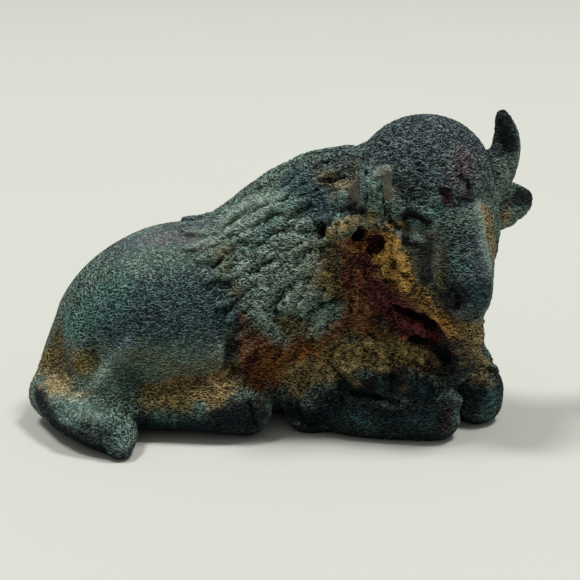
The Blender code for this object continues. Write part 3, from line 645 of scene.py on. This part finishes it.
# Where each colour settled: a line on the flank as (x, z), or on the head as (forward, left, up),
# then how far it reaches and how strong it is.
FLANK_STAINS = {
    "frost": [
        ([(-4, 83), (-12, 80), (-20, 75)], 5, 0.75),
        ([(-6, 79), (-18, 72), (-28, 68)], 5, 0.6),
        ([(-1, 77), (-11, 71)], 4, 0.6),
        ([(-10, 62), (2, 64)], 8.5, 0.9),
        ([(-8, 52), (4, 52)], 5, 1.0),
        ([(17, 76), (26, 78), (30, 77)], 3, 0.5),
        # Painted glints down the knobby column of the horn.
        ([(27, 95), (28, 90), (28.8, 86)], 2.0, 0.5),
        ([(-12, 48), (-9, 42), (-3, 36)], 3.2, 0.5),
        ([(15, 49), (12, 45), (9, 40)], 3.6, 0.5),
        ([(-85, 21), (-78, 18), (-70, 16)], 4, 0.3),
        ([(-72, 19), (-64, 27), (-56, 33)], 3.0, 0.3),
    ],
    "slate": [([(10, 92), (20, 104), (34, 106)], 8, 0.6), ([(-62, 62), (-45, 68), (-28, 71)], 7, 0.65)],
    "blue": [
        ([(-60, 43), (-44, 49), (-27, 46)], 10, 0.9),
        ([(-26, 51), (-23, 45)], 6, 0.4),
        ([(0, 89), (7, 86), (11, 81)], 5, 0.8),
        ([(16, 10), (31, 12), (48, 14)], 8, 0.22),
        ([(60, 14), (71, 13)], 8, 0.4),
        ([(42, 24), (44, 20)], 3, 0.35),
        ([(36, 8), (47, 9)], 4, 0.4),
        ([(-50, 8), (-36, 7), (-18, 10)], 5, 0.25),
    ],
    "teal": [
        ([(-76, 38), (-70, 44), (-62, 50)], 8, 0.65),
        ([(-2, 81), (-8, 74), (-12, 67)], 4, 0.4),
        ([(-63, 12), (-57, 8)], 5, 0.25),
        ([(-31, 13)], 3, 0.6),
        ([(-45, 11), (-41, 9)], 3, 0.5),
        ([(30.6, 24), (31, 19)], 2.8, 0.2),
        ([(20, 9), (30, 8)], 4, 0.25),
        ([(19, 12), (26, 11)], 5, 0.2),
        ([(70, 6), (73, 12)], 4, 0.4),
        ([(-4, 58), (4, 56)], 6, 0.2),
        ([(28, 92), (29, 84)], 2.4, 0.4),
        ([(17.5, 84), (16, 81)], 2, 0.5),
        ([(10, 51), (14, 47)], 4, 0.5),
    ],
    "violet": [([(-46, 67), (-37, 68), (-29, 66)], 6, 0.4)],
    "tan": [
        ([(-89, 19), (-84, 22), (-80, 18)], 5, 0.6),
        ([(-85, 18), (-78, 18), (-70, 17)], 4, 0.4),
        ([(-48, 16), (-37, 19), (-30, 17), (-22, 21)], 3.8, 1.0),
        ([(16, 76.5), (21, 79.5), (27, 80.5)], 2.6, 0.6),
        ([(3, 21), (7, 25), (11, 24)], 4.2, 1.6),
        ([(62, 41), (65, 34), (66, 26)], 5, 0.75),
        ([(18, 29), (25, 31), (30, 29), (36, 31), (43, 29)], 3.8, 1.4),
        ([(11, 89), (18, 89)], 3, 0.4),
        ([(39, 25), (39.5, 20), (38, 17)], 3.2, 0.18),
        ([(20, 14.8), (28, 14.6), (36, 13.8)], 2, 0.12),
        ([(22, 25), (23, 22)], 2.6, 0.3),
        ([(64, 20), (70, 18)], 4, 0.45),
        ([(14, 68), (12, 60)], 4, 0.4),
    ],
    "olive": [
        ([(-72, 26)], 5, 1.2),
        ([(3, 33), (12, 31), (17, 27)], 6, 0.8),
        ([(9, 67), (7, 60), (12, 55)], 6, 0.5),
        ([(-24, 66), (-20, 56), (-14, 47)], 5, 0.45),
        ([(-14, 40), (-8, 35)], 4, 0.6),
        ([(-2, 42), (8, 38), (16, 37)], 4.4, 0.7),
        ([(13, 58), (17, 51), (18, 42)], 4.6, 0.9),
        ([(20, 44), (26, 38), (31, 34)], 6, 0.8),
        ([(-16, 35), (-14, 28)], 6, 0.5),
        ([(-86, 22), (-82, 30)], 6, 1.0),
        ([(-46, 14), (-30, 15)], 5, 0.8),
        ([(-58, 32), (-40, 27), (-24, 27)], 5, 0.4),
        ([(13, 90), (19, 88), (22, 94)], 4, 0.4),
        ([(17, 76), (26, 78), (35, 76)], 4, 0.8),
        ([(14, 73), (18, 70), (19, 66)], 4, 0.8),
    ],
    "rust": [
        ([(-11, 23), (-3, 24), (3, 27)], 6, 1.0),
        ([(-16, 43), (-15, 36)], 3, 0.8),
        ([(-12, 33), (-6, 31), (6, 30)], 6, 1.0),
        ([(-18, 25), (-30, 22), (-42, 19)], 2.4, 0.7),
        ([(26, 70), (27, 60), (34, 50), (45, 41), (54, 38)], 8, 1.3),
        ([(20, 50), (28, 42), (38, 34)], 6, 0.75),
        ([(8, 35), (15, 38), (19, 45)], 4, 0.6),
        ([(43, 31), (50, 28), (56, 33)], 4, 0.7),
    ],
    "ochre": [
        ([(34.4, 74), (33, 68), (30, 63)], 3.5, 1.15),
        ([(37, 66), (39, 57)], 3.6, 0.8),
        ([(44, 53), (50, 46), (55, 41)], 4.4, 0.45),
        ([(24, 60), (30, 50), (34, 42)], 6, 0.25),
        ([(56, 43), (61, 42)], 3, 0.4),
    ],
    "crimson": [
        ([(22, 60), (28, 56)], 5, 0.7),
        ([(30, 52), (38, 46)], 5, 1.1),
        ([(24, 65), (27, 62)], 3, 0.8),
        ([(39, 42), (44, 39), (48, 38)], 4.2, 1.2),
        ([(28.8, 69)], 3.4, 1.1),
        ([(-13, 29), (-15, 25)], 2.6, 0.7),
        ([(53, 8), (55, 12)], 3, 0.3),
    ],
    # Where the painted glints on the ridges are gold and stronger.
    "ember": [
        ([(14, 76), (22, 79), (34, 76), (37, 70)], 4, 0.4),
        ([(-20, 25), (-6, 26), (8, 30)], 9, 1.0),
        ([(14, 60), (26, 52), (34, 40), (46, 30)], 11, 1.0),
        ([(24, 70), (34, 66), (36, 58)], 8, 1.0),
        ([(52, 44), (64, 38), (66, 26)], 8, 0.9),
        ([(-46, 17), (-34, 18), (-24, 20)], 6, 0.9),
        ([(-88, 22), (-80, 26), (-72, 26)], 6, 0.8),
        ([(3, 21), (8, 24)], 4, 1.0),
        ([(16, 31), (30, 31), (44, 30)], 5, 1.0),
        ([(11, 89), (19, 89)], 4, 0.5),
    ],
    "umber": [
        ([(31.4, 96), (32.2, 92), (32.4, 88)], 2.3, 1.4),
        ([(21.6, 88), (22.6, 85), (23, 82)], 3.0, 1.4),
        ([(13, 84), (15, 85)], 1.6, 1.0),
    ],
    # The smoke's carbon and painted shade: darkest low on the legs, hooves and tail and along the ground,
    # and in the folds, grooves, the ear's hole and the breast's voids.
    "soot": [
        ([(20, 20), (27, 18), (34, 22), (47, 19)], 5, 1.4),
        ([(16, 8), (31, 9), (48, 11)], 9, 1.1),
        ([(2, 9), (7, 6), (14, 9)], 4.4, 1.3),
        ([(62, 14), (71, 13)], 10, 1.1),
        ([(-22, 9), (-15, 9)], 6.5, 1.2),
        ([(-50, 6), (-36, 5), (-26, 5)], 4.2, 1.4),
        ([(0, 1), (20, 1), (50, 1)], 3.5, 1.0),
        ([(62, 40), (57, 36)], 3.5, 0.7),
        ([(-70, 8), (-62, 8)], 5, 0.7),
        ([(-82, 8), (-72, 5), (-61, 1)], 4.0, 1.2),
        ([(-88, 14), (-80, 8)], 3.2, 1.1),
        ([(37, 47), (43, 43.5), (49, 40)], 2.0, 1.5),
        ([(42, 34.8), (49, 34), (53.5, 28.5)], 2.6, 1.5),
        ([(14, 64), (17, 56), (15, 48)], 4, 0.4),
        ([(-20, 32), (-20, 27)], 2.6, 0.8),
        ([(21, 81.4), (24, 81.3)], 1.6, 1.2),
        ([(23.0, 72.4)], 2.4, 2.2),
        ([(10.8, 75.5), (10.8, 72.6)], 1.8, 0.8),
        ([(27.6, 94), (29, 86), (30, 80)], 2.4, 0.4),
        ([(25, 92), (25, 88), (25.4, 82.5)], 0.8, 0.6),
        ([(29.9, 93), (30.2, 88), (31.2, 82)], 0.8, 1.0),
        ([(12, 79), (17, 80.5), (22, 83)], 1.2, 0.8),
        ([(33, 79), (36, 76.5), (39, 72)], 1.2, 1.0),
        ([(19, 78)], 1.4, 0.5),
        ([(26, 79.5)], 1.2, 0.6),
        ([(14, 72), (16, 69)], 1.6, 0.5),
        ([(31, 46), (34, 40)], 4, 0.8),
        ([(36, 42), (42, 41), (48, 38)], 3.4, 0.6),
        ([(24, 36), (30, 36)], 5, 0.45),
        ([(24, 57), (33, 51)], 3, 0.3),
    ],
}
HEAD_STAINS = {
    "slate": [
        ([(0, -14, 24), (4, 4, 26), (-4, 14, 22)], 15, 1.0),
        ([(10, -12, 10), (16, 2, 12)], 10, 0.8),
        ([(24, -6, -14), (27, -4, -24), (24, -9, -30)], 9, 0.75),
        ([(4, 26, 10), (4, 30, 4)], 7, 0.5),
    ],
    "frost": [
        ([(21, 1, 1), (25, 0, -8), (27, 1, -18)], 2.6, 0.4),
        ([(6, 25, 8), (6, 26, 13)], 4, 0.6),
        ([(7.5, -21.5, -7.8), (9.5, -18.8, -9), (14, -16, -9)], 1.3, 1.3),
    ],
    "blue": [([(4, -22, 12), (12, -14, 12)], 8, 0.2), ([(24, -8, -18), (28, -2, -28)], 5, 0.5)],
    "teal": [([(16, -13, 0)], 3, 0.6), ([(22, -10, -12), (24, -8, -18)], 4, 0.4)],
    "violet": [([(14, 1, 17), (18, -3, 10)], 5, 0.6), ([(25, -8.6, -22.3)], 2.8, 0.7)],
    "tan": [([(22, 4, -2), (23.5, 5, -9), (24, 6, -15)], 3.2, 0.9), ([(3, 30.6, -10)], 3.5, 0.7)],
    "olive": [([(19, -12, -12), (18, -12, -22), (20, -11, -30)], 2.4, 0.8), ([(22, 6, -6)], 4, 0.5)],
    "crimson": [([(17.6, -9.7, 4.4)], 1.8, 0.9), ([(15, 0, 16)], 3, 0.35), ([(25.1, 2.8, -7)], 1.2, 0.5)],
    # Where the painted glints on the nose's ridges are gold.
    "ember": [([(23, 5, -4), (24, 6, -14)], 3, 0.7)],
    "umber": [([(16, -14.7, -10), (15.5, -15, -16), (14, -15, -22)], 3.2, 1.6)],
    # The smoke's carbon and painted shade: in the eye's socket, the brow's grooves, the nostril and mouth,
    # under the lid's curl and the beard, and on the far horn and ear.
    "soot": [
        ([(14, -16, -3.4), (11.3, -18, -2), (9, -19.6, -2.4)], 1.8, 1.2),
        ([(16, -14.7, -10), (14.5, -15.5, -17), (13, -14, -24)], 3.2, 0.7),
        ([(24.4, -9.5, -27.2), (29, -5, -27)], 5.5, 0.9),
        ([(22, -10.5, -29)], 5, 0.95),
        ([(24, -6, -35), (19, -8, -36)], 4, 0.5),
        ([(13, -4, -51), (18, -4, -55)], 8, 0.9),
        ([(6, 27, 18), (5, 26, 23), (4, 25, 32)], 5, 1.0),
        ([(3, 38, -3), (2, 44, -6)], 3.6, 0.9),
        ([(16.5, -11.4, 6.6), (17.7, -9.8, 6)], 2.0, 0.7),
        ([(18, -3.7, 10.6), (19.7, -2.5, 8)], 1.6, 1.0),
        ([(8, -20.5, -11), (12.5, -17, -11.6)], 1.1, 0.9),
    ],
}


def stain(skin):
    """How strongly each colour settled on each point, by colour.

    The far flank takes the near one's stains, apart from those round the ear and the breast.
    """
    settled = {}
    for name in {**FLANK_STAINS, **HEAD_STAINS}:
        strength = np.zeros(len(skin.points))
        paths = []
        for line, reach, most in FLANK_STAINS.get(name, []):
            paths.append((skin.on_flank(line), reach, most))
            x, z = line[0]
            if x < 20 or z < 30:
                paths.append((skin.on_flank(line, FAR), reach, most))
        for line, reach, most in HEAD_STAINS.get(name, []):
            paths.append((skin.on_skull(line), reach, most))
        for path, reach, most in paths:
            touched, close = skin.closeness(path, STAIN_SPREAD * reach)
            strength[touched] = np.maximum(strength[touched], most * close)
        # Painted shade near the ground: the skin gets darker towards the bottom.
        if name == "soot":
            strength = np.maximum(strength, ramp(skin.points[:, 2], 6.5, 2.5))
        settled[name] = strength
    return settled


def note(piece, name, values):
    """Keeps one number for each point of a piece, for its glaze to read."""
    piece.data.attributes.new(name, "FLOAT", "POINT").data.foreach_set("value", values)


def add_node(tree, kind, *values, out=0, **settings):
    """Adds a shader node with its settings and gives its output.

    Its inputs in use are filled in order: a socket is linked, None leaves an input as it is.
    """
    node = tree.nodes.new("ShaderNode" + kind)
    for name, value in settings.items():
        setattr(node, name, value)
    for socket, value in zip([socket for socket in node.inputs if socket.enabled], values):
        if isinstance(value, bpy.types.NodeSocket):
            tree.links.new(value, socket)
        elif value is not None:
            socket.default_value = value
    return [socket for socket in node.outputs if socket.enabled][out]


def per_metre(width):
    """Scale of a noise whose lumps are this many millimetres wide."""
    return 1000 / width


def settled_colour(node, place, glaze):
    """Each colour over those before it, where it was noted, with cloudy and flecked edges."""
    colour = tuple(glaze.base)
    for turn, name in enumerate(type(glaze).__annotations__):
        if name == "base" or name in GLINT_COLOURS:
            continue
        clouds = node("TexNoise", place, turn, per_metre(CLOUD), 3.0, noise_dimensions="4D")
        flecks = node("TexNoise", place, turn + 20, per_metre(FLECK), 2.0, noise_dimensions="4D")
        edge = node("Math", clouds, 1.1, -1.05, operation="MULTIPLY_ADD")
        edge = node("Math", flecks, 1.0, edge, operation="MULTIPLY_ADD")
        gain = node("Math", edge, 1.8, 1.0, operation="MULTIPLY_ADD")
        reach = node("Math", node("Attribute", attribute_name=name, out=2), gain, operation="MULTIPLY")
        amount = node("MapRange", reach, 0.06, 0.72, interpolation_type="SMOOTHSTEP")
        colour = node("Mix", amount, colour, tuple(getattr(glaze, name)), data_type="RGBA")
    return colour


def tool_marks(node, place, rise):
    """Fine wavy ridges, 1 on a ridge, as they are this many metres further up."""
    level = node("Mapping", place, (0.0, 0.0, rise), None, DRAWN_OUT)
    ridge = 0.0
    for width, share, turn in TOOL_MARKS:
        swirl = node("TexNoise", level, turn, per_metre(width), 1.0, 0.5, 2.0, 0.6, noise_dimensions="4D")
        offset = node("Math", swirl, 0.5, operation="SUBTRACT")
        fold = node("Math", offset, operation="ABSOLUTE")
        line = node("MapRange", fold, 0.0, 0.09, share, 0.0, interpolation_type="SMOOTHSTEP")
        ridge = node("Math", line, ridge, operation="ADD")
    return ridge


def raku_glaze(glaze):
    """Raku copper glaze, matt from heavy smoke: it looks like dull metal dust, with satin runs.

    IOR 1.5 as any glass; roughness 0.7 in the marks, 0.36 on their ridges, 0.25 where the glaze
    ran smooth and 0.9 under the smoke's carbon and painted shade.  The colour holds painted light
    and shade: ridges and crests painted bright, with painted glints on the highest, and furrows,
    the undersides of ridges and hollows painted dark, with the smoke's carbon in them too.  The
    wire tool's marks are 1.1 mm and 0.6 mm wide and half as long again along the body, the
    smoke's clouds 8 mm and its flecks 1.5 mm.
    """
    paint = bpy.data.materials.new("raku_copper_glaze")
    paint.use_nodes = True
    tree = paint.node_tree
    shader = tree.nodes["Principled BSDF"]
    node = partial(add_node, tree)
    place = node("TexCoord", out=3)
    smooth = node("Attribute", attribute_name="polish", out=2)
    soot_and_shade_mask = node("Attribute", attribute_name="soot", out=2)
    warm = node("Attribute", attribute_name="ember", out=2)
    red = node("Attribute", attribute_name="crimson", out=2)
    crest = node("Attribute", attribute_name="crest", out=2)
    hollow = node("Attribute", attribute_name="hollow", out=2)
    colour = settled_colour(node, place, glaze)

    # Each grain took its own hue.
    grains = node("TexNoise", place, per_metre(GRAIN), 2.0, out=1)
    hue = node("VectorMath", grains, (0.4, 0.4, 0.4), (0.8, 0.8, 0.8), operation="MULTIPLY_ADD")
    colour = node("Mix", 1.0, colour, hue, data_type="RGBA", blend_type="MULTIPLY")

    # Painted light and shade: ridges and crests are painted bright; furrows, the undersides of ridges (as
    # under light from above) and hollows are painted dark, which stands both for shade and for the smoke's
    # carbon left there.
    ridge = tool_marks(node, place, 0.0)
    above = tool_marks(node, place, LEE_SHADE_STEP)
    relief = node("Math", crest, hollow, operation="SUBTRACT")
    height = node("Math", relief, 0.3, ridge, operation="MULTIPLY_ADD")
    painted_lee_shade = node("Math", ridge, above, operation="SUBTRACT")
    height = node("Math", painted_lee_shade, 0.8, height, operation="MULTIPLY_ADD")
    lit = node("MapRange", height, 0.0, 1.3, 0.04, 3.5, interpolation_type="SMOOTHSTEP")
    lit = node("Mix", smooth, lit, 1.0)
    colour = node("Mix", 1.0, colour, lit, data_type="RGBA", blend_type="MULTIPLY")

    # Painted highlights: the highest ridges get painted glints, gold or pink where the glaze reduced and
    # elsewhere pale, fewer where the smoke's carbon lies.
    glint_colour = node("Mix", warm, tuple(glaze.bloom), tuple(glaze.ember), data_type="RGBA")
    reddened = node("MapRange", red, 0.2, 0.8, 0.0, 0.75)
    glint_colour = node("Mix", reddened, glint_colour, tuple(glaze.rose), data_type="RGBA")
    painted_glint = node("MapRange", height, 0.7, 1.15, 0.0, 0.45)
    bare = node("Math", soot_and_shade_mask, -0.8, 1.0, operation="MULTIPLY_ADD", use_clamp=True)
    painted_glint = node("Math", painted_glint, bare, operation="MULTIPLY")
    glow = node("Math", warm, 0.9, 1.0, operation="MULTIPLY_ADD")
    painted_glint = node("Math", painted_glint, glow, operation="MULTIPLY", use_clamp=True)
    colour = node("Mix", painted_glint, colour, glint_colour, data_type="RGBA")

    rough = node("MapRange", height, 0.3, 1.1, 0.7, 0.36)
    rough = node("Mix", smooth, rough, 0.25)
    rough = node("Mix", soot_and_shade_mask, rough, 0.9)
    strength = node("MapRange", smooth, 0.0, 1.0, 1.0, 0.1)
    bump = node("Bump", strength, 0.001, None, ridge)
    tree.links.new(colour, shader.inputs["Base Color"])
    tree.links.new(rough, shader.inputs["Roughness"])
    tree.links.new(bump, shader.inputs["Normal"])
    shader.inputs["IOR"].default_value = 1.5
    shader.inputs["Specular IOR Level"].default_value = 0.15
    return paint


class BISON_OT_figure(bpy.types.Operator):
    """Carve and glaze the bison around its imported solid"""

    bl_idname = "bison.figure"
    bl_label = "Bison"

    def execute(self, context):
        clay = context.scene.bison_clay
        piece = work_up(clay)
        carve(piece, clay)
        thin_out(piece, clay.triangles)
        skin = Skin(piece)
        solid_box = [np.array(corner / SHARE - MARK) for corner in (LOW, HIGH)]
        skin.points = np.clip(skin.points, *solid_box)
        skin.write()
        # Hollows and crests, for the glaze's painted shade in hollows and painted light on crests.
        fine = hollows(skin, rounds=6, depth=0.35)
        broad = hollows(skin, rounds=40, depth=1.2)
        relief = 0.6 * fine + broad
        note(piece, "hollow", np.clip(relief, 0, 2))
        note(piece, "crest", np.clip(-relief, 0, 2))
        note(piece, "polish", polish(skin))
        for name, strength in stain(skin).items():
            note(piece, name, strength)
        piece.data.transform(Matrix.Scale(SHARE, 4) @ Matrix.Translation(MARK))
        piece.data.shade_smooth()
        piece.data.materials.clear()
        piece.data.materials.append(raku_glaze(context.scene.bison_glaze))
        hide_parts("bison")
        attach(piece, "root")
        return {"FINISHED"}


class BISON_OT_stage(bpy.types.Operator):
    """Lay the pale floor, hang the soft light and set the camera"""

    bl_idname = "bison.stage"
    bl_label = "Stage"

    def execute(self, context):
        stage = context.scene.bison_stage
        scene = context.scene
        sheet = bmesh.new()
        bmesh.ops.create_grid(sheet, x_segments=8, y_segments=8, size=FLOOR_REACH)
        mesh = bpy.data.meshes.new("floor")
        sheet.to_mesh(mesh)
        sheet.free()
        floor = bpy.data.objects.new("floor", mesh)
        scene.collection.objects.link(floor)
        mesh.materials.append(matt_paper(stage))
        world = bpy.data.worlds.new("room")
        world.use_nodes = True
        air = world.node_tree.nodes["Background"]
        air.inputs["Color"].default_value = linear(ROOM_COLOUR)
        air.inputs["Strength"].default_value = stage.air
        scene.world = world
        for side in (-1, 1):
            hang_softbox(scene, side, stage.key_power)
        set_camera(scene)
        scene.view_settings.view_transform = "Standard"
        return {"FINISHED"}


def matt_paper(stage):
    """Uncoated drawing paper: pale, quite matt, faintly mottled."""
    paint = bpy.data.materials.new("matt_paper")
    paint.use_nodes = True
    tree = paint.node_tree
    shader = tree.nodes["Principled BSDF"]
    mottle = add_node(tree, "TexNoise", add_node(tree, "TexCoord", out=3), 4.0, 2.0)
    shade = add_node(tree, "MapRange", mottle, 0.0, 1.0, 0.97, 1.0)
    colour = add_node(tree, "Mix", 1.0, tuple(stage.floor), shade, data_type="RGBA", blend_type="MULTIPLY")
    tree.links.new(colour, shader.inputs["Base Color"])
    shader.inputs["Roughness"].default_value = 0.9
    return paint


def hang_softbox(scene, side, power):
    """A round soft light high over one end of the figure, aimed at its middle."""
    data = bpy.data.lights.new("softbox", "AREA")
    data.shape = "DISK"
    data.size = SOFTBOX_WIDTH
    data.energy = power
    lamp = bpy.data.objects.new("softbox", data)
    across, back, up = SOFTBOX_AT
    lamp.location = (side * across, back, up)
    lamp.rotation_euler = (SOFTBOX_AIM - lamp.location).to_track_quat("-Z", "Y").to_euler()
    scene.collection.objects.link(lamp)


def set_camera(scene):
    """The photograph's view of the figure."""
    data = bpy.data.cameras.new("camera")
    data.lens = LENS
    data.sensor_width = SENSOR
    camera = bpy.data.objects.new("camera", data)
    down = math.radians(LOOK_DOWN)
    back = Vector((0, -math.cos(down), math.sin(down)))
    camera.location = (LOOK_AT + MARK + DISTANCE * back) * SHARE
    camera.rotation_euler = (math.pi / 2 - down, 0, 0)
    scene.collection.objects.link(camera)
    scene.camera = camera


class BISON_PT_panel(bpy.types.Panel):
    """The figure's settings and its two steps"""

    bl_idname = "BISON_PT_panel"
    bl_label = "Raku Bison"
    bl_space_type = "VIEW_3D"
    bl_region_type = "UI"
    bl_category = "Bison"

    def draw(self, context):
        layout = self.layout
        for group in ("bison_clay", "bison_glaze", "bison_stage"):
            settings = getattr(context.scene, group)
            for name in type(settings).__annotations__:
                layout.prop(settings, name)
        layout.operator("bison.figure")
        layout.operator("bison.stage")


CLASSES = (ClaySettings, GlazeSettings, StageSettings, BISON_OT_figure, BISON_OT_stage, BISON_PT_panel)


def register():
    for item in CLASSES:
        bpy.utils.register_class(item)
    bpy.types.Scene.bison_clay = bpy.props.PointerProperty(type=ClaySettings)
    bpy.types.Scene.bison_glaze = bpy.props.PointerProperty(type=GlazeSettings)
    bpy.types.Scene.bison_stage = bpy.props.PointerProperty(type=StageSettings)


def unregister():
    del bpy.types.Scene.bison_stage
    del bpy.types.Scene.bison_glaze
    del bpy.types.Scene.bison_clay
    for item in reversed(CLASSES):
        bpy.utils.unregister_class(item)


def main():
    register()
    bpy.ops.bison.figure()
    bpy.ops.bison.stage()


if __name__ == "__main__":
    main()
